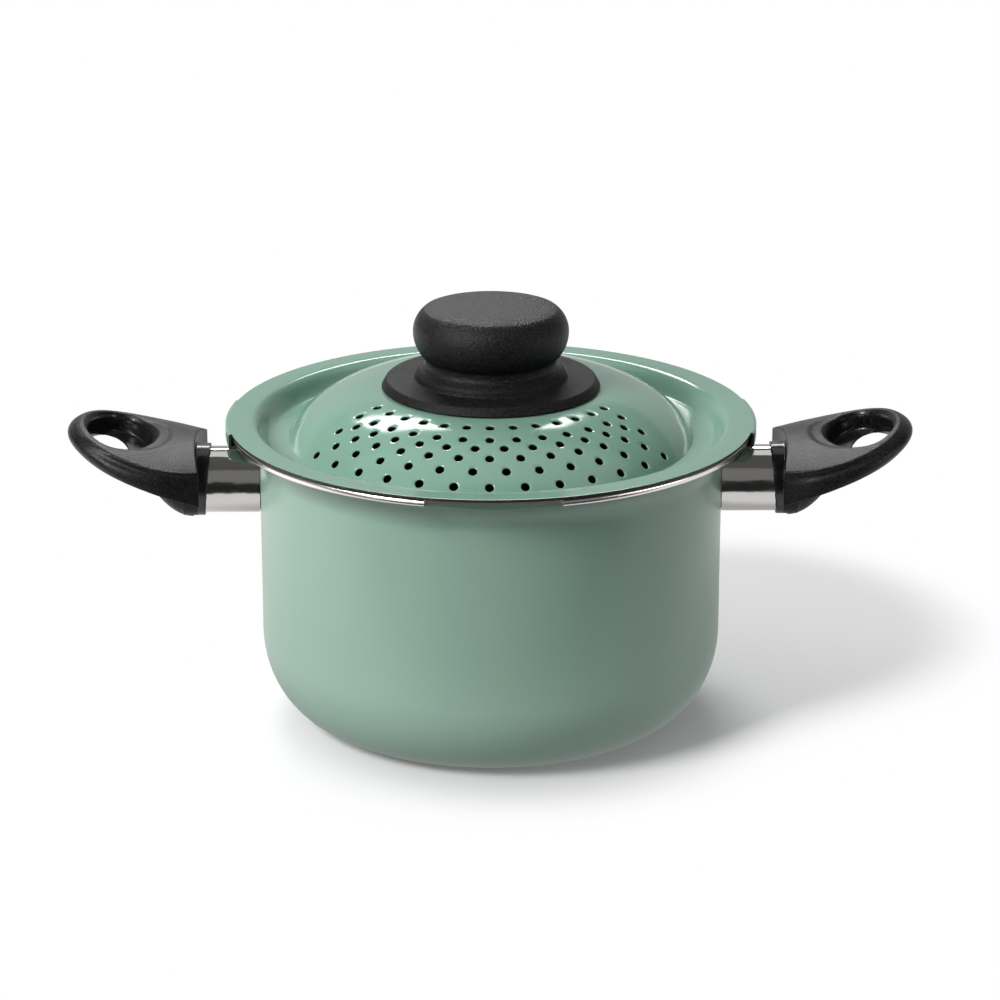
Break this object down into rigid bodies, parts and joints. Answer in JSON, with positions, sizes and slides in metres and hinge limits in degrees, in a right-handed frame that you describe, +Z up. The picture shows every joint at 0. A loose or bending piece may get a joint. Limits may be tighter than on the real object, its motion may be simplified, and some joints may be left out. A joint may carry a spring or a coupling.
{
  "type": "pasta pot with strainer lid",
  "caption": "Deep enamelled pot with two loop handles and a domed twist-lock lid pierced with strainer holes, topped by a broad moulded knob.",
  "frame": {"origin": "centre of the base, on the surface that the pot stands on", "axes": "+Z up, strainer holes face -Y, handles along X"},
  "size_m": [0.376, 0.2332, 0.1878],
  "materials": {
    "pot_enamel": "sage green semi-gloss enamel on aluminium, bare lip",
    "lid_enamel": "sage green semi-gloss enamel on steel",
    "bakelite": "black moulded bakelite, finely sparked",
    "stainless": "polished stainless sheet",
    "plated_steel": "zinc plated",
    "brass": "turned"
  },
  "bodies": {
    "pot": {"pot_body": "pot_enamel", "handle_stud_left": "plated_steel", "handle_stud_right": "plated_steel", "flame_guard_left": "stainless", "flame_guard_right": "stainless", "grip_left": "bakelite", "grip_right": "bakelite", "grip_screw_left": "plated_steel", "grip_screw_right": "plated_steel", "grip_washer_left": "plated_steel", "grip_washer_right": "plated_steel"},
    "lid_lifter": {"knob_screw": "plated_steel"},
    "lid": {"lid_shell": "lid_enamel", "knob": "bakelite", "knob_insert": "brass", "knob_washer": "plated_steel"}
  },
  "joints": [
    {"name": "lid_lift", "type": "slide", "parent": "pot", "child": "lid_lifter", "axis": [0, 0, 1], "range_m": [0, 0.112]},
    {"name": "lid_turn", "type": "hinge", "parent": "lid_lifter", "child": "lid", "pos_m": [0, 0, 0.15], "axis": [0, 0, 1], "range_deg": [-90, 90]}
  ]
}
